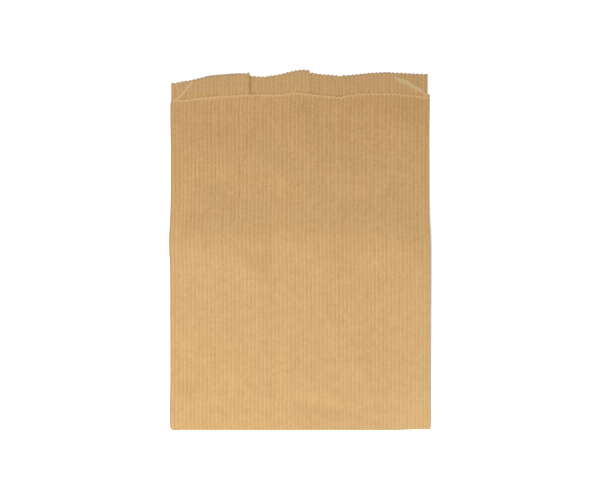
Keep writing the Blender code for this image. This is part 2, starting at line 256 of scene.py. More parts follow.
@dataclass
class BagForm:
    """The folded form of the bag: where each point of the blank lies.

    Attributes are sizes in metres, most of them the solid's, or plain shares and powers. The
    dents, the puffs and the ripple are the visual model's own.
    """

    paper: float = 0.10 * MM
    tooth_pitch: float = 2.95 * MM
    tooth_depth: float = 1.0 * MM
    half_width: float = 95.0 * MM
    gusset_left: float = 58.15 * MM
    gusset_right: float = 64.3 * MM
    back_inset: float = 0.6 * MM
    narrowing_low: float = 0.38 * MM
    narrowing_left: float = 0.4 * MM
    narrowing_right: float = 0.95 * MM
    crest_swell: float = 0.85 * MM
    lip_corner_pull: float = 1.0 * MM
    mouth_draw: float = 0.85 * MM
    lap_centre: float = -0.2 * MM
    lap_width: float = 14.6 * MM
    lap_pitch: float = 0.15 * MM
    lap_ramp: float = 3.0 * MM
    lap_clearance: float = 0.5 * MM
    front_flap: float = 24.0 * MM
    inner_flap: float = 8.5 * MM
    fold_radius: float = 0.20 * MM
    base_corner_left: float = 2.0 * MM
    base_corner_right: float = 0.3 * MM
    base_corner_height: float = 4.7 * MM
    base_corner_power: float = 2.4
    base_kink: float = 0.73 * MM
    base_kink_reach: float = 14.0 * MM
    base_kink_span: Span = (0.69, 0.93)
    ramp_start: float = 10.3 * MM
    ramp_end: float = 14.8 * MM
    settle_start: float = 25.8 * MM
    settle_end: float = 29.8 * MM
    pitch_base: float = 0.20 * MM
    pitch_low: float = 0.45 * MM
    pitch_crest: float = 0.88 * MM
    pitch_high: float = 0.42 * MM
    pitch_high_share: float = 0.45
    pitch_mouth: float = 0.15 * MM
    crest_v: float = 139.15 * MM
    crest_lift: float = 1.15 * MM
    crest_round_left: float = 2.5 * MM
    crest_round_right: float = 9.0 * MM
    crest_slant: float = 2.0 * MM
    crest_fall_up: float = 56.0 * MM
    crest_fall_down: float = 105.0 * MM
    crest_power: float = 1.6
    panel_lift: float = 0.4 * MM
    panel_side: float = 1.6
    panel_fall: float = 0.8
    mouth_wave: float = 0.048 * MM
    top_row: float = 234.0 * MM
    leaf_curl: float = 0.05 * MM
    leaf_curl_reach: float = 3.2 * MM
    puff_left: float = 0.15 * MM
    puff_right: float = 0.22 * MM
    puff_reach: float = 4.0 * MM
    mouth_ripple: float = 0.12 * MM
    contact: float = 0.125 * MM
    contact_round: float = 0.04 * MM
    middle_contact: float = 0.14 * MM
    lap_contact: float = 0.13 * MM
    dent_side: float = 5.0
    dent_start: float = 12.0 * MM
    dent_end: float = 243.0 * MM
    dents: Sequence[SoftDent] = (
        SoftDent(2.0, 216.0, 11.0, 20.0, 1.16),
        SoftDent(-62.0, 231.0, 12.0, 10.0, -0.87),
        SoftDent(-60.6, 180.0, 13.0, 9.0, -0.8),
        SoftDent(51.5, 205.0, 11.0, 14.0, -0.87),
        SoftDent(75.0, 228.0, 9.0, 14.0, 0.65),
        SoftDent(-9.0, 183.0, 9.0, 20.0, 0.66, -50.0),
        SoftDent(44.0, 167.0, 10.0, 8.0, -0.65),
        SoftDent(-69.0, 130.0, 24.0, 16.0, 1.3),
        SoftDent(-36.6, 116.0, 8.0, 16.0, 0.87, -38.5),
        SoftDent(-19.5, 130.0, 6.0, 30.0, -0.95),
        SoftDent(-18.0, 60.0, 6.0, 50.0, -0.51),
        SoftDent(72.6, 139.0, 12.0, 14.0, 0.8),
        SoftDent(22.0, 109.0, 10.0, 30.0, 0.6),
        SoftDent(50.0, 112.0, 9.0, 12.0, -0.65),
        SoftDent(25.0, 76.0, 8.0, 10.0, 0.58),
        SoftDent(42.0, 48.0, 9.0, 8.0, 0.65),
        SoftDent(-9.0, 50.0, 5.0, 20.0, 0.51),
        SoftDent(-83.0, 43.0, 10.0, 14.0, -0.8),
        SoftDent(10.7, 18.4, 24.0, 4.8, -0.55, 14.0),
    )

    @property
    def base_reach(self) -> float:
        """Distance from the base fold's axis to the bag's lowest line."""
        return self.fold_radius + 3 * self.pitch_base + self.paper / 2

    def ply_pitch(self, v: float) -> float:
        """Read the distance between neighbouring plies.

        Args:
            v: Distance above the base fold.

        Returns:
            The distance in metres.
        """
        middle = self.crest_v + self.pitch_high_share * (self.top_row - self.crest_v)
        pitch = self.pitch_base
        for low, high, reached in (
            (self.ramp_start, self.ramp_end, self.pitch_low),
            (self.ramp_end, self.crest_v, self.pitch_crest),
            (self.crest_v, middle, self.pitch_high),
            (middle, self.top_row, self.pitch_mouth),
        ):
            pitch += (reached - pitch) * ease(v, low, high)
        return pitch

    def rise(self, x: float, v: float) -> float:
        """Read the back panel's height over the floor.

        Args:
            x: Place across the bag.
            v: Distance above the base fold.

        Returns:
            The height in metres.
        """
        glued = self.paper / 2 + self.lap_pitch
        start = self.base_reach + self.fold_radius
        if v <= self.ramp_end:
            return start + (glued - start) * ease(v, self.ramp_start, self.ramp_end)
        flat = glued - (glued - self.paper / 2) * ease(v, self.settle_start, self.settle_end)
        turn = 0.5 + 0.5 * math.sin(x / self.half_width * 8.3 + 0.6)
        return flat + self.mouth_ripple * turn * ease(v, self.top_row, self.top_row + 24 * MM)

    def corner(self, v: float) -> float:
        """Read the share of a base corner's rounding, 1 at the bag's lowest line."""
        height = (v + self.base_reach) / self.base_corner_height
        return max(0.0, 1.0 - height) ** self.base_corner_power

    def left_edge(self, v: float) -> float:
        """Read the tube's reach to the left: rounded at the base, swollen at the crest.

        Args:
            v: Distance above the base fold.

        Returns:
            The distance from the bag's middle.
        """
        drawn = self.narrowing_low * ease(v, self.ramp_end, self.ramp_end + 20 * MM)
        upper = 1.0 - ease(v, self.top_row - 34 * MM, self.top_row - 8 * MM)
        drawn += self.narrowing_left * ease(v, self.crest_v, self.crest_v + 41 * MM) * upper
        swell = self.crest_swell * bell(v, self.crest_v - 3 * MM, 14 * MM)
        return self.half_width - drawn - self.base_corner_left * self.corner(v) + swell

    def right_edge(self, v: float) -> float:
        """Read the tube's reach to the right: drawn in above the crest.

        Args:
            v: Distance above the base fold.

        Returns:
            The distance from the bag's middle.
        """
        drawn = self.narrowing_right * ease(v, self.crest_v - 10 * MM, self.crest_v + 19 * MM)
        drawn *= 1.0 - 0.45 * ease(v, self.top_row - 29 * MM, self.top_row + 6 * MM)
        return self.half_width - drawn - self.base_corner_right * self.corner(v)

    def lip_pull(self, v: float) -> float:
        """Read how far the front panel's left corner is drawn in at the lip."""
        lip_corner = LIP_HEIGHT * MM - self.base_reach - 3.5 * MM
        return self.lip_corner_pull * ease(v, lip_corner - 2.3 * MM, lip_corner + 0.3 * MM)

    def kink(self, x: float, v: float) -> float:
        """Read how far the base fold sits higher near its right end."""
        near = 1.0 - ease(v, 0.0, self.base_kink_reach)
        return self.base_kink * near * ease(x / self.half_width, *self.base_kink_span)

    def crest(self, x: float, v: float) -> float:
        """Read the share of the crest's lift: a ridge, sharper on the left.

        Args:
            x: Place across the bag.
            v: Distance above the base fold.

        Returns:
            A share from 0 to 1.
        """
        side = ease(x, -self.half_width * 0.5, self.half_width * 0.5)
        rounding = self.crest_round_left + (self.crest_round_right - self.crest_round_left) * side
        away = v - self.crest_v - self.crest_slant * (1.0 - 2.0 * side)
        reach = self.crest_fall_up if away > 0 else self.crest_fall_down
        drop = (math.hypot(away, rounding) - rounding) / reach
        return max(0.0, 1.0 - drop) ** self.crest_power

    def front_lift(self, x: float, v: float) -> float:
        """Read the front panel's height over the pressed stack.

        Args:
            x: Place across the bag.
            v: Distance above the base fold.

        Returns:
            The height in metres.
        """
        reach = self.left_edge(v) if x < 0 else self.right_edge(v)
        across = max(0.0, 1.0 - (x / reach) ** 2)
        panel = self.panel_lift * ease(v, self.settle_end, self.crest_v * 0.6)
        panel *= 1.0 - self.panel_fall * ease(v, self.top_row - 60 * MM, self.top_row)
        share = x / self.half_width
        waves = math.sin(share * 7.4 + 0.9) + 0.5 * math.sin(share * 12.1)
        panel += self.mouth_wave * waves * ease(v, self.crest_v, self.top_row)
        panel += self.crest_lift * self.crest(x, v)
        buckles = sum(dent.height(x, v) for dent in self.dents)
        buckles *= min(1.0, across * self.dent_side) * ease(v, 0.0, self.dent_start)
        buckles *= 1.0 - ease(v, self.top_row, self.dent_end)
        inside, deepest = self.middle_room(x, v)
        sag = deepest * inside * ease(v, self.top_row - 45 * MM, self.top_row - 4 * MM)
        room = self.ply_pitch(v) - self.contact
        room += (deepest - room) * inside
        lift = min(1.0, across * self.panel_side) * panel + buckles - sag
        return soft_floor(lift, -room, self.contact_round)

    def middle_room(self, x: float, v: float) -> Span:
        """Read where the front panel has only the back under it, and how far it can sink there.

        Args:
            x: Place across the bag.
            v: Distance above the base fold.

        Returns:
            A share, 1 between the gussets, and the depth in metres.
        """
        inside = ease(x, self.inner_left(v) + 1 * MM, self.inner_left(v) + 7 * MM)
        inside *= 1.0 - ease(x, self.inner_right(v) - 7 * MM, self.inner_right(v) - 1 * MM)
        on_lap = ease(x, self.ramp_to(v) - 2 * MM, self.ramp_from(v))
        on_lap *= 1.0 - ease(x, self.lap_end_left(v), self.lap_end_left(v) + 2 * MM)
        rest = self.middle_contact + self.lap_contact * on_lap
        return inside, max(0.0, 3 * self.ply_pitch(v) - rest)

    def puff(self, x: float, v: float, fold: float, height: float) -> float:
        """Read how far a gusset's inner fold stands up beyond the lip, where nothing holds it.

        Args:
            x: Place across the bag.
            v: Distance above the base fold.
            fold: The fold's place across the bag.
            height: Its full height.

        Returns:
            The height in metres.
        """
        free = ease(v, (LIP_HEIGHT + 0.8) * MM, (LIP_HEIGHT + 3.4) * MM)
        return height * bell(x, fold, self.puff_reach) * free

    def front_left(self, v: float) -> float:
        """Read where the front panel's left fold starts."""
        return self.lip_pull(v) - self.left_edge(v) + self.ply_pitch(v) / 2

    def front_right(self, v: float) -> float:
        """Read where the front panel's right fold starts."""
        return self.right_edge(v) - self.ply_pitch(v) / 2

    def back_left(self, v: float) -> float:
        """Read where the back panel's left fold starts."""
        return self.back_inset - self.left_edge(v) + self.ply_pitch(v) / 2

    def back_right(self, v: float) -> float:
        """Read where the back panel's right fold starts, drawn in at the mouth."""
        drawn = self.mouth_draw * ease(v, self.top_row - 30 * MM, self.top_row)
        return self.right_edge(v) - (self.back_inset + drawn) - self.ply_pitch(v) / 2

    def inner_left(self, v: float) -> float:
        """Read where the left gusset's inner fold starts."""
        return -self.half_width + self.gusset_left - self.ply_pitch(v) / 2

    def inner_right(self, v: float) -> float:
        """Read where the right gusset's inner fold starts."""
        return self.half_width - self.gusset_right + self.ply_pitch(v) / 2

    def lap_end_left(self, v: float) -> float:
        """Read where the sheet's upper end stops in the lap."""
        return self.lap_centre + self.lap_width / 2

    def lap_end_right(self, v: float) -> float:
        """Read where the sheet's lower end stops in the lap."""
        return self.lap_centre - self.lap_width / 2

    def ramp_from(self, v: float) -> float:
        """Read where the upper end starts to step down beside the lap."""
        return self.lap_end_right(v) - self.lap_clearance

    def ramp_to(self, v: float) -> float:
        """Read where the upper end has come down to the back panel."""
        return self.ramp_from(v) - self.lap_ramp

    def place(self, x: float, n: float, course: Course, value: float) -> Point:
        """Put a point of the section on the path round the base fold.

        Args:
            x: Place across the bag.
            n: Height over the back panel's middle.
            course: The stretch of the path.
            value: Distance along it, or the angle of the bend.

        Returns:
            The point, with Y counted from the base fold's axis.
        """
        if course in (Course.MAIN, Course.HEAD):
            return (x, value + self.kink(x, value), self.rise(x, value) + n)
        reach = self.fold_radius + n
        if course is Course.BEND:
            height = self.base_reach + reach * math.cos(value)
            return (x, self.kink(x, 0.0) - reach * math.sin(value), height)
        return (x, value + self.kink(x, value), self.base_reach - reach)


@dataclass
class Segment:
    """A strip of the blank between two fold lines, or the bend of one fold.

    Attributes:
        strip: Which strip it is.
        ends: Both ends across the bag, each read at a height.
        level: Plies under it, or for a fold the ply it starts from.
        cut: The cut edge at the mouth, none for a fold.
        side: For a fold, 1 where it bulges to the right and -1 to the left.
        climb: For a fold, 1 where it goes up and -1 where it goes down.
    """

    strip: Strip
    ends: tuple[Edge, Edge]
    level: float = 0.0
    cut: CutLine | None = None
    side: float = 0.0
    climb: float = 0.0

    @property
    def is_fold(self) -> bool:
        """Tell a fold's bend from a flat strip."""
        return self.side != 0.0

    def section(self, form: BagForm, f: float, v: float) -> Span:
        """Read a point of the flattened tube's section.

        Args:
            form: The bag's form.
            f: Share of the strip's width.
            v: Distance above the base fold.

        Returns:
            The place across the bag and the height over the back panel.
        """
        pitch = form.ply_pitch(v)
        start = self.ends[0](v)
        if self.is_fold:
            turned = math.cos(math.pi * f)
            n = self.level * pitch + self.climb * pitch / 2 * (1 - turned)
            if self.strip is Strip.FOLD_B:
                n += form.puff(start, v, start, form.puff_left) * (1 - turned) / 2
            elif self.strip is Strip.FOLD_E:
                n += form.puff(start, v, start, form.puff_right) * (1 + turned) / 2
            return start + self.side * pitch / 2 * math.sin(math.pi * f), n
        x = start + (self.ends[1](v) - start) * f
        n = self.level * pitch
        if self.strip is Strip.LAP:
            n = form.lap_pitch
        elif self.strip is Strip.LAP_RAMP:
            n = form.lap_pitch * (1.0 - f)
        elif self.strip is Strip.FRONT:
            n += form.front_lift(x, v)
        elif self.strip is Strip.LEAF_B:
            n += form.puff(x, v, form.inner_left(v), form.puff_left)
        elif self.strip is Strip.LEAF_C:
            n += form.puff(x, v, form.inner_right(v), form.puff_right)
        return x, n

    def slanting(self, x: float) -> bool:
        """Tell whether the cut at x is a front leaf's slanting edge, which has no teeth."""
        left = self.strip is Strip.LEAF_B and x < -79.0 * MM
        return left or (self.strip is Strip.LEAF_C and x > 66.0 * MM)


@dataclass
class Station:
    """One column of the blank.

    Attributes:
        segment: The strip it is in.
        f: Share of the strip's width.
        tooth: -0.5 in a valley of the serration, 0.5 on a tip.
        along: Distance round the tube from the front panel's middle.
    """

    segment: Segment
    f: float
    tooth: float
    along: float


@dataclass
class SheetPoint:
    """One point of the folded blank.

    Attributes:
        place: Where it lies.
        blank: Its place on the flat blank.
        marks: Its edge marks from 0 to 1, by the names of their attributes.
    """

    place: Point
    blank: Span
    marks: dict[str, float]


@dataclass
class BagSheet:
    """The folded sheet: one grid, folded, cut and given its thickness.

    Attributes:
        form: The bag's form.
        fold_steps: Columns in each fold's bend.
        bend_steps: Rows round the base fold.
        flap_steps: Rows of the base flap.
        main_step: Distance between rows of the main panels, in metres.
        crest_reach: How far the finer rows go from the crest.
        low_rows: Heights of the first rows above the base fold, in millimetres.
        head_rows: Places of the last rows, as shares from the top row to the cut.
        fold_shade: How dark the painted shade on the outer folds is.
        smooth_angle: Faces that meet at less are shaded smooth, in degrees.
    """

    form: BagForm = field(default_factory=BagForm)
    fold_steps: int = 5
    bend_steps: int = 8
    flap_steps: int = 5
    main_step: float = 3.6 * MM
    crest_reach: float = 16.0 * MM
    low_rows: Sequence[float] = (0.0, 0.8, 1.6, 2.4, 3.4, 5.0, 7.6)
    head_rows: Sequence[float] = (0.0, 0.16, 0.32, 0.46, 0.58, 0.69, 0.78, 0.86, 0.93, 1.0)
    fold_shade: float = 0.7
    smooth_angle: float = 50.0

    def segments(self) -> list[Segment]:
        """List the strips in their order round the tube.

        Returns:
            The strips and folds, from one end of the lap to the other.
        """
        g = self.form
        return [
            Segment(Strip.LAP, (g.lap_end_left, g.ramp_from), 0, LEFT_BACK_CUT),
            Segment(Strip.LAP_RAMP, (g.ramp_from, g.ramp_to), 0, LEFT_BACK_CUT),
            Segment(Strip.BACK_LEFT, (g.ramp_to, g.back_left), 0, LEFT_BACK_CUT),
            Segment(Strip.FOLD_A, (g.back_left, g.back_left), 0, None, -1, 1),
            Segment(Strip.LEAF_A, (g.back_left, g.inner_left), 1, LEFT_LEAF_CUT),
            Segment(Strip.FOLD_B, (g.inner_left, g.inner_left), 1, None, 1, 1),
            Segment(Strip.LEAF_B, (g.inner_left, g.front_left), 2, LEFT_FRONT_LEAF_CUT),
            Segment(Strip.FOLD_C, (g.front_left, g.front_left), 2, None, -1, 1),
            Segment(Strip.FRONT, (g.front_left, g.front_right), 3, LIP_CUT),
            Segment(Strip.FOLD_D, (g.front_right, g.front_right), 3, None, 1, -1),
            Segment(Strip.LEAF_C, (g.front_right, g.inner_right), 2, RIGHT_FRONT_LEAF_CUT),
            Segment(Strip.FOLD_E, (g.inner_right, g.inner_right), 2, None, -1, -1),
            Segment(Strip.LEAF_D, (g.inner_right, g.back_right), 1, RIGHT_LEAF_CUT),
            Segment(Strip.FOLD_F, (g.back_right, g.back_right), 1, None, 1, -1),
            Segment(Strip.BACK_RIGHT, (g.back_right, g.lap_end_right), 0, RIGHT_BACK_CUT),
        ]

    def stations(self) -> list[Station]:
        """Lay the columns out over the blank, two to a tooth on the flat strips.

        Returns:
            The columns in their order round the tube.
        """
        form = self.form
        stations: list[Station] = []
        along = 0.0
        front_middle = 0.0
        for segment in self.segments():
            if segment.is_fold:
                count = self.fold_steps
                width = math.pi * form.pitch_low / 2
            else:
                width = abs(segment.ends[1](form.top_row) - segment.ends[0](form.top_row))
                count = 2 * max(1, round(width / form.tooth_pitch))
            for k in range(0 if not stations else 1, count + 1):
                tooth = 0.5 if k % 2 and not segment.is_fold else -0.5
                stations.append(Station(segment, k / count, tooth, along + width * k / count))
            if segment.strip is Strip.FRONT:
                front_middle = along + width / 2
            along += width
        for station in stations:
            station.along -= front_middle
        return stations

    def fold_shadow_place(self) -> float:
        """Read where on the blank the back panel lies right beside the left inner fold, under the
        painted shadow.

        Returns:
            The distance round the tube from the front panel's middle.
        """
        form = self.form
        v = form.top_row
        fold = form.inner_left(v) + form.ply_pitch(v) / 2
        panel = [k for k in self.stations() if k.segment.strip is Strip.BACK_LEFT]
        first, last = panel[0], panel[-1]
        x_first, x_last = (k.segment.section(form, k.f, v)[0] for k in (first, last))
        share = (fold - x_first) / (x_last - x_first)
        return first.along + (last.along - first.along) * share

    def rows(self) -> list[tuple[Course, float]]:
        """Lay the rows out from the base flap to the mouth.

        Returns:
            For each row its stretch of the path and its place there.
        """
        form = self.form
        flap = self.flap_steps
        rows = [(Course.FLAP, 1.0 - k / flap) for k in range(flap + 1)]
        turn = math.pi / self.bend_steps
        rows += [(Course.BEND, math.pi - turn * k) for k in range(1, self.bend_steps)]
        rows += [(Course.MAIN, v * MM) for v in self.low_rows]
        crest_start, crest_end = form.crest_v - self.crest_reach, form.crest_v + self.crest_reach
        for start, end, step in (
            (form.ramp_start, form.ramp_end, 1.1 * MM),
            (form.ramp_end, form.settle_start, 3.0 * MM),
            (form.settle_start, form.settle_end, 1.4 * MM),
            (form.settle_end, crest_start, self.main_step),
            (crest_start, crest_end, 2.0 * MM),
            (crest_end, form.top_row, self.main_step),
        ):
            count = max(1, round((end - start) / step))
            rows += [(Course.MAIN, start + (end - start) * k / count) for k in range(count)]
        return rows + [(Course.HEAD, share) for share in self.head_rows]

    def cuts(self, stations: list[Station]) -> list[float]:
        """Read how far above the base fold each column is cut at the mouth.

        Args:
            stations: The blank's columns.

        Returns:
            The distances in metres. A fold's go from one neighbour's to the other's.
        """
        form = self.form
        flat: list[float | None] = []
        for station in stations:
            segment = station.segment
            cut = None
            if not segment.is_fold:
                x = segment.section(form, station.f, form.top_row)[0]
                depth = 0.0 if segment.slanting(x) else form.tooth_depth
                cut = segment.cut.height(x) + station.tooth * depth - form.base_reach
            flat.append(cut)
        cuts = []
        for k, station in enumerate(stations):
            low = next(cut for cut in reversed(flat[: k + 1]) if cut is not None)
            high = next(cut for cut in flat[k:] if cut is not None)
            cuts.append(low + (high - low) * station.f)
        return cuts

    def lay(self, station: Station, cut: float, course: Course, value: float) -> SheetPoint:
        """Fold one point of the blank.

        Args:
            station: Its column.
            cut: Where the column is cut at the mouth.
            course: The stretch of the path.
            value: Distance along it, the angle of the bend, or a share of the flap or the head.

        Returns:
            The point, with Y counted from the base fold's axis.
        """
        form = self.form
        segment = station.segment
        v, gap = 0.0, cut
        if course is Course.FLAP:
            flap = form.front_flap if segment.strip is Strip.FRONT else form.inner_flap
            flap += (station.tooth + 0.5) * form.tooth_depth
            value *= flap
            gap = flap - value
        elif course is Course.BEND:
            v = -form.base_reach * math.sin(value)
        else:
            if course is Course.HEAD:
                value = form.top_row + (cut - form.top_row) * value
            v = value
            gap = cut - value
        x, n = segment.section(form, station.f, v)
        slanted = segment.slanting(x) and course is Course.HEAD
        if slanted:
            near = max(0.0, 1.0 - 0.75 * gap / form.leaf_curl_reach)
            free = 1.0 - ease(abs(x), form.half_width - 4.0 * MM, form.half_width - 1.6 * MM)
            n += form.leaf_curl * near * near * free
        place = form.place(x, n, course, value)
        if course is Course.BEND:
            v = -value * (form.fold_radius + n)
        elif course is Course.FLAP:
            v = -value - math.pi * (form.fold_radius + n)
        marks = self.marks(segment.strip, slanted, x, gap, course)
        return SheetPoint(place, (station.along, v), marks)

    def marks(
        self, strip: Strip, slanted: bool, x: float, gap: float, course: Course
    ) -> dict[str, float]:
        """Read the lip's pale cut and painted highlight, the painted highlight beside the leaves'
        turned edges, and the painted shade along the toothed cuts, the outer folds and the base
        bend.

        Args:
            strip: The strip of the blank.
            slanted: Whether the cut is a leaf's slanting edge.
            x: Place across the bag.
            gap: Distance from the cut.
            course: The stretch of the path.

        Returns:
            A share from 0 to 1 for each mark.
        """
        front = strip is Strip.FRONT
        reach, fade = 1.6 * MM, 1.8 * MM
        if x > 0:
            reach, fade = (0.5 + 1.9 * ease(x, 69 * MM, 73 * MM)) * MM, 1.6 * MM
        # Painted shade: darker within 0.7 mm of a toothed cut, round the whole base bend and on
        # the outer folds; none on the lip or the slanting cuts.
        dark = 1.0 - ease(gap, 0.1 * MM, 0.7 * MM)
        if course is Course.BEND:
            dark = 1.0
        elif strip in (Strip.FOLD_C, Strip.FOLD_D):
            dark = self.fold_shade
        elif slanted or front:
            dark = 0.0
        return {
            "pale_lip_and_highlight": 1.0 - ease(gap, 0.7 * MM, 1.9 * MM) if front else 0.0,
            "turned_edge_highlight": 1.0 - ease(gap, reach, reach + fade) if slanted else 0.0,
            "painted_edge_shade": dark,
        }

    def fold(self, layout: list[list[SheetPoint]]) -> bpy.types.Object:
        """Add the blank as a grid, fold it, and note what the finish reads.

        Args:
            layout: For each column its points, from the flap up.

        Returns:
            The folded grid.
        """
        columns, rows = len(layout) - 1, len(layout[0]) - 1
        bpy.ops.object.select_all(action="DESELECT")
        bpy.ops.mesh.primitive_grid_add(x_subdivisions=columns, y_subdivisions=rows, size=1)
        blank = bpy.context.object
        blank.name = "bag_sheet"
        mesh = blank.data
        mesh.name = "bag_sheet"
        for name in layout[0][0].marks:
            mesh.attributes.new(name, "FLOAT", "POINT")
        on_blank: list[Span] = [(0.0, 0.0)] * len(mesh.vertices)
        for vertex in mesh.vertices:
            i = round((vertex.co.x + 0.5) * columns)
            j = round((vertex.co.y + 0.5) * rows)
            point = layout[i][j]
            vertex.co = point.place
            on_blank[vertex.index] = point.blank
            for name, share in point.marks.items():
                mesh.attributes[name].data[vertex.index].value = share
        blank_map = mesh.uv_layers[0]
        blank_map.name = "blank"
        unit = BLANK_UNIT * MM
        for loop in mesh.loops:
            across, along = on_blank[loop.vertex_index]
            blank_map.data[loop.index].uv = (across / unit, along / unit)
        return blank

    def build(self) -> bpy.types.Object:
        """Model the sheet, with the bag's middle at the origin.

        Returns:
            The finished piece.
        """
        stations, rows = self.stations(), self.rows()
        cuts = self.cuts(stations)
        layout = [[self.lay(k, cut, *row) for row in rows] for k, cut in zip(stations, cuts)]
        points = [point for column in layout for point in column]
        across = [point.place[0] for point in points]
        slide = -(max(across) + min(across)) / 2
        shift = (self.form.base_reach - max(cuts)) / 2
        for point in points:
            x, y, z = point.place
            point.place = (x + slide, y + shift, z)
        sheet = self.fold(layout)
        bpy.ops.object.mode_set(mode="EDIT")
        bpy.ops.mesh.select_all(action="SELECT")
        bpy.ops.mesh.normals_make_consistent(inside=False)
        bpy.ops.object.mode_set(mode="OBJECT")
        wall = sheet.modifiers.new("thickness", "SOLIDIFY")
        wall.thickness = self.form.paper
        wall.offset = 0.0
        wall.use_even_offset = True
        wall.use_quality_normals = True
        bpy.ops.object.modifier_apply(modifier=wall.name)
        bpy.ops.object.shade_smooth_by_angle(angle=math.radians(self.smooth_angle))
        return sheet


class Value:
    """A shader socket that can be used in Python expressions."""

    def __init__(self, bench: "Bench", socket: Any) -> None:
        """Keep the node bench and the socket, or a plain number."""
        self.bench = bench
        self.socket = socket

    def _math(self, operation: str, *others: Any) -> "Value":
        """Add a Math node.

        Args:
            operation: The Math node's operation.
            others: Further values or numbers.

        Returns:
            The node's result.
        """
        sockets = dict(enumerate((self, *others)))
        made = self.bench.node("ShaderNodeMath", {"operation": operation}, sockets)
        return Value(self.bench, made.outputs[0])

    def __add__(self, other: Any) -> "Value":
        """Add."""
        return self._math("ADD", other)

    __radd__ = __add__

    def __sub__(self, other: Any) -> "Value":
        """Subtract."""
        return self._math("SUBTRACT", other)

    def __rsub__(self, other: Any) -> "Value":
        """Subtract from a number."""
        return Value(self.bench, other)._math("SUBTRACT", self)

    def __mul__(self, other: Any) -> "Value":
        """Multiply."""
        return self._math("MULTIPLY", other)

    __rmul__ = __mul__

    def cosine(self) -> "Value":
        """Take the cosine."""
        return self._math("COSINE")

    def exponent(self) -> "Value":
        """Raise e to this power."""
        return self._math("EXPONENT")

    def step(self, low: float, high: float) -> "Value":
        """Go smoothly from 0 at low to 1 at high.

        Args:
            low: Where the step starts.
            high: Where it ends.

        Returns:
            The stepped value.
        """
        made = self.bench.node(
            "ShaderNodeMapRange",
            {"interpolation_type": "SMOOTHSTEP"},
            {"Value": self, "From Min": low, "From Max": high},
        )
        return Value(self.bench, made.outputs["Result"])


class Bench:
    """Adds nodes to the tree of one material, or of the world."""

    def __init__(self, owner: bpy.types.Material | bpy.types.World) -> None:
        """Start with an empty tree.

        Args:
            owner: The material or the world.
        """
        owner.use_nodes = True
        self.tree = owner.node_tree
        self.tree.nodes.clear()

    def node(self, kind: str, settings: dict[str, Any], sockets: dict[Any, Any]) -> Any:
        """Add a node.

        Args:
            kind: The node's type.
            settings: Its settings, set first.
            sockets: Values or links of its sockets, by name or number.

        Returns:
            The node.
        """
        made = self.tree.nodes.new(kind)
        for name, setting in settings.items():
            setattr(made, name, setting)
        for name, value in sockets.items():
            value = value.socket if isinstance(value, Value) else value
            if isinstance(value, bpy.types.NodeSocket):
                self.tree.links.new(value, made.inputs[name])
            else:
                made.inputs[name].default_value = value
        return made

    def finish(self, output: str, bounced: Any, seen: Any) -> None:
        """Send one shader to the light that bounces, and another to what sees it.

        Args:
            output: Type of the tree's output node.
            bounced: The node of the shader that lights the object.
            seen: The node of the shader that the camera, metal and glass see.
        """
        path = self.node("ShaderNodeLightPath", {}, {}).outputs
        eye = Value(self, path["Is Camera Ray"]) + path["Is Glossy Ray"]
        eye = eye + path["Is Transmission Ray"]
        sockets = {0: eye, 1: bounced.outputs[0], 2: seen.outputs[0]}
        mix = self.node("ShaderNodeMixShader", {}, sockets)
        self.node(output, {}, {"Surface": mix.outputs["Shader"]})

    def attribute(self, name: str) -> Value:
        """Read a number kept on the mesh."""
        made = self.node("ShaderNodeAttribute", {"attribute_name": name}, {})
        return Value(self, made.outputs["Fac"])

    def noise(
        self, place: Any, grains: Span, detail: float, rough: float = 0.5, turn: float = 0.0
    ) -> Value:
        """Read a noise around 0, about -0.5 to 0.5.

        Args:
            place: The coordinate.
            grains: Grains to a unit of the coordinate, across and along.
            detail: Octaves.
            rough: Weight of the finer octaves.
            turn: Angle of the grains, in radians.

        Returns:
            The noise.
        """
        stretched = self.node(
            "ShaderNodeMapping",
            {"vector_type": "POINT"},
            {"Vector": place, "Rotation": (0.0, 0.0, turn), "Scale": (*grains, 1.0)},
        ).outputs["Vector"]
        made = self.node(
            "ShaderNodeTexNoise",
            {"noise_dimensions": "3D"},
            {"Vector": stretched, "Scale": 1.0, "Detail": detail, "Roughness": rough},
        )
        return Value(self, made.outputs["Fac"]) - 0.5

    def mix(self, share: Value, low: Any, high: Colour) -> Any:
        """Mix a colour with a plain one.

        Args:
            share: 0 for low and 1 for high.
            low: The first colour, a socket or four numbers.
            high: The plain colour.

        Returns:
            The colour's socket.
        """
        settings = {"data_type": "RGBA", "clamp_factor": True}
        return self.node("ShaderNodeMix", settings, {0: share, 6: low, 7: (*high, 1.0)}).outputs[2]


@dataclass(frozen=True)
class PaintedShadeSpot(Spot):
    """A spot of painted light, or of painted shade where its peak is negative."""

    def shade(self, across: Value, along: Value) -> Value:
        """Read the spot over the blank.

        Args:
            across: The coordinate across the blank.
            along: The coordinate along the blank.

        Returns:
            What the spot adds to the tone.
        """
        dx = (across - self.x) * (1.0 / self.reach_x)
        dv = (along - self.v) * (1.0 / self.reach_v)
        return ((dx * dx + dv * dv) * -1.0).exponent() * self.peak


@dataclass(frozen=True)
class FibreLayer:
    """One layer of fibres or clouds in the stock.

    Attributes:
        grains: Grains to a unit of the blank, across and along.
        tone: Its part in the tone at the base.
        gain: What the mouth adds to that.
        dull: Its part in the roughness.
        relief: Its part in the relief, in millimetres.
        detail: Octaves.
        rough: Weight of the finer octaves.
        turn: Angle of the grains, in radians.
    """

    grains: Span
    tone: float
    gain: float = 0.0
    dull: float = 0.0
    relief: float = 0.0
    detail: float = 2.0
    rough: float = 0.6
    turn: float = 0.0


@dataclass(frozen=True)
class Tint:
    """A colour that lies over the stock.

    Attributes:
        colour: The colour.
        share: How much of it shows where it is full.
    """

    colour: Colour
    share: float

    def over(self, bench: Bench, colour: Any, place: Value) -> Any:
        """Lay the tint over a colour's socket where place is 1."""
        return bench.mix(place * self.share, colour, self.colour)


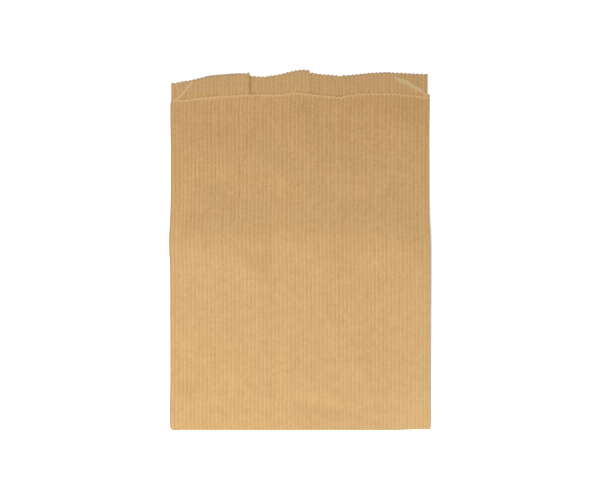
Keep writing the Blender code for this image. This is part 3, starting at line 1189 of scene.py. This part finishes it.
@dataclass(frozen=True)
class RibbedKraft:
    """Unbleached ribbed kraft paper, with lengths in millimetres of the blank.

    Attributes:
        fold_shadow_at: Where the painted shadow beside the left inner fold lies on the blank.
        deep: The colour of the darkest fibres.
        light: The colour of the lightest fibres.
        warm: The redder tint towards the mouth.
        beyond_lip: The greyer tint of what stands beyond the lip.
        pale_lip_and_highlight: The lip's paler cut, with a painted highlight along it.
        pale_fall: How much weaker the lip's pale cut and painted highlight are on the right.
        turned_edge_highlight: Painted highlight beside the leaves' turned slanting cuts.
        painted_edge_shade: Painted shade along the toothed cuts, on the outer folds and round the
            base bend.
        painted_fold_shadow: Painted shadow on the back panel beside the left inner fold.
        fray: How unevenly the lip's pale cut and highlight and the painted edge shade lie.
        mouth_painted_shade: Painted shade: how much darker the sheet is at the mouth than at the
            base.
        rib_pitch: Distance from rib to rib.
        rib_phase: Place of the ribs, in radians.
        rib_drift: How far they wander, in radians.
        rib_uneven: How unevenly strong they are.
        rib_tone: How much lighter a rib is than the middle, at the base.
        rib_gain: What the mouth adds to that.
        rib_dull: How much glossier a rib is.
        rib_relief: Height of a rib.
        fleck_light: How much lighter a light fleck is.
        fleck_dark: How much darker a dark fleck is.
        fleck_limits: Which part of their noise shows.
        roughness: Roughness of the sheet.
        layers: Its fibres and clouds.
        spots: Its spots of painted light and shade.
    """

    fold_shadow_at: float
    deep: Colour = (0.530, 0.300, 0.107)
    light: Colour = (0.732, 0.473, 0.211)
    warm: Tint = Tint((0.600, 0.342, 0.146), 0.16)
    beyond_lip: Tint = Tint((0.58, 0.43, 0.28), 0.10)
    pale_lip_and_highlight: Tint = Tint((0.84, 0.55, 0.25), 0.62)
    pale_fall: float = 0.1129
    turned_edge_highlight: Tint = Tint((0.71, 0.53, 0.29), 0.6)
    painted_edge_shade: Tint = Tint((0.40, 0.31, 0.19), 0.5)
    painted_fold_shadow: Tint = Tint((0.36, 0.195, 0.065), 0.6)
    fray: float = 1.2
    mouth_painted_shade: float = 0.20
    rib_pitch: float = 2.908
    rib_phase: float = -1.03
    rib_drift: float = 0.4
    rib_uneven: float = 1.5
    rib_tone: float = 0.15345
    rib_gain: float = 0.0429
    rib_dull: float = 0.035
    rib_relief: float = 0.010
    fleck_light: float = 0.18
    fleck_dark: float = 0.26
    fleck_limits: Span = (0.27, 0.36)
    roughness: float = 0.74
    layers: Sequence[FibreLayer] = (
        FibreLayer((5.0, 5.0), 0.26, relief=0.10, rough=0.55),
        FibreLayer((17.0, 17.0), 0.46, detail=1.0, rough=0.5),
        FibreLayer((38.0, 38.0), 0.50, dull=0.12, relief=0.03, detail=1.0),
        FibreLayer((55.0, 2.5), 0.16, 0.70),
        FibreLayer((170.0, 55.0), 0.476, 0.532, dull=0.10, relief=0.010, turn=0.12),
        FibreLayer((60.0, 170.0), 0.425, 0.475, relief=0.008, turn=-0.35),
        FibreLayer((80.0, 80.0), 0.0, 0.70, detail=0.0),
    )
    spots: Sequence[PaintedShadeSpot] = (
        PaintedShadeSpot(-17.0, 206.0, 12.0, 16.0, 0.10),
        PaintedShadeSpot(-87.0, 216.0, 8.0, 16.0, 0.09),
        PaintedShadeSpot(-68.0, 143.0, 22.0, 8.0, 0.07),
        PaintedShadeSpot(-17.0, 143.0, 10.0, 9.0, -0.07),
        PaintedShadeSpot(52.0, 136.0, 10.0, 12.0, -0.07),
        PaintedShadeSpot(70.0, 196.0, 9.0, 8.0, 0.08),
        PaintedShadeSpot(85.0, 161.0, 10.0, 10.0, 0.08),
        PaintedShadeSpot(17.0, 95.0, 10.0, 30.0, -0.06),
        PaintedShadeSpot(10.0, 22.0, 70.0, 11.0, 0.07),
    )

    def flecks_and_painted_shade(self, bench: Bench, flat: Any, across: Value, along: Value) -> Value:
        """Read the flecks, and the painted light and shade of the stock.

        Args:
            bench: The material's bench.
            flat: The blank's own coordinates.
            across: The coordinate across the blank.
            along: The coordinate along the blank.

        Returns:
            What they add to the tone.
        """
        fleck = bench.noise(flat, (260.0, 110.0), 0.0, turn=0.5)
        tone = (fleck * -1.0).step(*self.fleck_limits) * self.fleck_light
        tone = tone - fleck.step(*self.fleck_limits) * self.fleck_dark
        # Painted light: paler across the middle heights, on the lower right side and in the lower
        # right corner.
        tone = tone + along.step(55.0, 115.0) * (1.0 - along.step(150.0, 235.0)) * 0.11
        tone = tone + across.step(55.0, 97.0) * (1.0 - along.step(80.0, 170.0)) * 0.16
        tone = tone + across.step(20.0, 95.0) * (1.0 - along.step(0.0, 50.0)) * 0.14
        # Painted shade below the lip, right of the middle.
        tone = tone - across.step(5.0, 45.0) * along.step(212.0, 240.0) * 0.12
        # Painted light and shade in soft spots.
        for spot in self.spots:
            tone = tone + spot.shade(across, along)
        return tone

    def edges(self, bench: Bench, flat: Any, across: Value, along: Value, colour: Any) -> Any:
        """Lay the mouth's tint, the edge tints with their painted highlights and shade, and the
        painted shadow beside the left inner fold over the stock.

        Args:
            bench: The material's bench.
            flat: The blank's own coordinates.
            across: The coordinate across the blank.
            along: The coordinate along the blank.
            colour: The stock's colour.

        Returns:
            The colour's socket.
        """
        beyond = along.step(LIP_HEIGHT + 0.3, LIP_HEIGHT + 1.8)
        colour = self.beyond_lip.over(bench, colour, beyond)
        fray = 1.0 + bench.noise(flat, (160.0, 160.0), 2.0) * self.fray
        # The lip's paler cut, with a painted highlight along it.
        pale = bench.attribute("pale_lip_and_highlight") * fray
        pale = pale * (1.0 - across.step(-40.0, 40.0) * self.pale_fall)
        colour = self.pale_lip_and_highlight.over(bench, colour, pale)
        # Painted highlight beside the leaves' slanting cuts.
        colour = self.turned_edge_highlight.over(bench, colour, bench.attribute("turned_edge_highlight"))
        # Painted shade along the toothed cuts, on the outer folds and round the base bend.
        colour = self.painted_edge_shade.over(bench, colour, bench.attribute("painted_edge_shade") * fray)
        # Painted shadow on the back panel, in a strip beside the left inner fold above the lip.
        beside = across.step(self.fold_shadow_at - 1.55, self.fold_shadow_at - 1.25)
        beside = beside * (1.0 - across.step(self.fold_shadow_at - 0.5, self.fold_shadow_at + 0.7))
        return self.painted_fold_shadow.over(bench, colour, beside * beyond)

    def material(self) -> bpy.types.Material:
        """Make the material.

        Returns:
            The material.
        """
        material = bpy.data.materials.new("ribbed_kraft")
        bench = Bench(material)
        flat = bench.node("ShaderNodeUVMap", {"uv_map": "blank"}, {}).outputs["UV"]
        parts = bench.node("ShaderNodeSeparateXYZ", {}, {"Vector": flat}).outputs
        across, along = (Value(bench, parts[axis]) * BLANK_UNIT for axis in ("X", "Y"))
        rise = along.step(-20.0, 265.0)
        drift = bench.noise(flat, (6.0, 1.2), 1.0) * self.rib_drift
        rib = (across * (2 * math.pi / self.rib_pitch) + self.rib_phase + drift).cosine()
        ribbing = rib * (1.0 + bench.noise(flat, (10.0, 14.0), 2.0) * self.rib_uneven)
        tone = 0.5 + ribbing * (rise * self.rib_gain + self.rib_tone)
        dull = self.roughness - rib * self.rib_dull
        height = ribbing * self.rib_relief
        for layer in self.layers:
            noise = bench.noise(flat, layer.grains, layer.detail, layer.rough, layer.turn)
            tone = tone + noise * (rise * layer.gain + layer.tone)
            dull = dull + noise * layer.dull
            height = height + noise * layer.relief
        tone = tone + self.flecks_and_painted_shade(bench, flat, across, along)
        # Painted shade: darker towards the mouth, lighter towards the base.
        tone = tone + (0.5 - rise) * self.mouth_painted_shade
        colour = bench.mix(tone, (*self.deep, 1.0), self.light)
        colour = self.warm.over(bench, colour, rise)
        bump = {"Strength": 1.0, "Distance": 1.0 * MM, "Height": height}
        sockets = {
            "Base Color": self.edges(bench, flat, across, along, colour),
            "Roughness": dull,
            "IOR": 1.45,
            "Specular IOR Level": 0.35,
            "Normal": bench.node("ShaderNodeBump", {}, bump).outputs["Normal"],
        }
        shader = bench.node("ShaderNodeBsdfPrincipled", {}, sockets)
        bench.node("ShaderNodeOutputMaterial", {}, {"Surface": shader.outputs["BSDF"]})
        return material


@dataclass(frozen=True)
class StudioFloor:
    """The plain pale floor.

    Attributes:
        radius: Radius of the round floor, in metres.
        depth: How far it lies under the sheet, in metres.
        sides: Sides of its outline.
        grey: Its colour under the lamps.
        seen: Its colour to the camera, above 1 so that the lit floor is white.
    """

    radius: float = 0.8
    depth: float = 0.05 * MM
    sides: int = 96
    grey: float = 0.80
    seen: float = 1.7

    def build(self) -> bpy.types.Object:
        """Add the floor.

        Returns:
            The floor's object.
        """
        bpy.ops.object.select_all(action="DESELECT")
        bpy.ops.mesh.primitive_circle_add(
            radius=self.radius,
            vertices=self.sides,
            fill_type="NGON",
            location=(0.0, 0.0, -self.depth),
        )
        floor = bpy.context.object
        floor.name = "studio_floor"
        material = bpy.data.materials.new("pale_floor")
        bench = Bench(material)
        plain, bright = (
            bench.node("ShaderNodeBsdfDiffuse", {}, {"Color": (level, level, level, 1.0)})
            for level in (self.grey, self.seen)
        )
        bench.finish("ShaderNodeOutputMaterial", plain, bright)
        floor.data.materials.append(material)
        return floor


@dataclass(frozen=True)
class Lamp:
    """A soft studio lamp.

    Attributes:
        name: The lamp's name.
        place: Where it stands.
        size: Side of its face, in metres.
        power: Its power, in watts.
    """

    name: str
    place: Point
    size: float
    power: float

    def build(self) -> None:
        """Add the lamp, aimed at the bag."""
        data = bpy.data.lights.new(self.name, "AREA")
        data.shape = "SQUARE"
        data.size = self.size
        data.energy = self.power
        lamp = bpy.data.objects.new(self.name, data)
        bpy.context.scene.collection.objects.link(lamp)
        lamp.location = self.place
        aim = -lamp.location
        lamp.rotation_euler = aim.to_track_quat("-Z", "Y").to_euler()


@dataclass(frozen=True)
class Studio:
    """The lamps, the world and the camera.

    Attributes:
        lamps: The lamps.
        world: Strength of the world's light. The camera sees it white.
        view_width: Width of the view on the floor, in metres.
        lens: Focal length, in millimetres.
        sensor: Width of the sensor, in millimetres.
        centre: The point the camera looks at.
    """

    lamps: Sequence[Lamp] = (
        Lamp("key_lamp", (-0.42, -0.86, 0.72), 0.45, 12.4),
        Lamp("top_lamp", (0.25, 0.15, 1.5), 1.2, 6.25),
    )
    world: float = 0.215
    view_width: float = VIEW_PIXELS * PIXEL
    lens: float = 85.0
    sensor: float = 36.0
    centre: Point = (0.00017, -0.0002, 0.002)

    def build(self) -> None:
        """Add the lamps, the world and the camera, and set the view."""
        for lamp in self.lamps:
            lamp.build()
        world = bpy.data.worlds.new("studio")
        bench = Bench(world)
        soft, white = (
            bench.node("ShaderNodeBackground", {}, {"Color": (1.0,) * 4, "Strength": strength})
            for strength in (self.world, 1.0)
        )
        bench.finish("ShaderNodeOutputWorld", soft, white)
        bpy.context.scene.world = world
        data = bpy.data.cameras.new("camera")
        data.lens = self.lens
        data.sensor_fit = "HORIZONTAL"
        data.sensor_width = self.sensor
        data.dof.use_dof = False
        camera = bpy.data.objects.new("camera", data)
        bpy.context.scene.collection.objects.link(camera)
        x, y, z = self.centre
        camera.location = (x, y, z + self.lens / self.sensor * self.view_width)
        bpy.context.scene.camera = camera
        bpy.context.scene.view_settings.view_transform = "Standard"


def main() -> None:
    """Build the camera, the lamps, the floor and the bag."""
    logging.basicConfig(level=logging.INFO, format="%(name)s: %(message)s")
    Studio().build()
    floor = StudioFloor().build()
    LOG.info("floor %s", floor.name)
    maker = BagSheet()
    sheet = maker.build()
    sheet.data.materials.clear()
    sheet.data.materials.append(RibbedKraft(maker.fold_shadow_place() / MM).material())
    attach(sheet, "root")
    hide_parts("paper_bag")
    LOG.info("piece %s, %d faces", sheet.name, len(sheet.data.polygons))


if __name__ == "__main__":
    main()
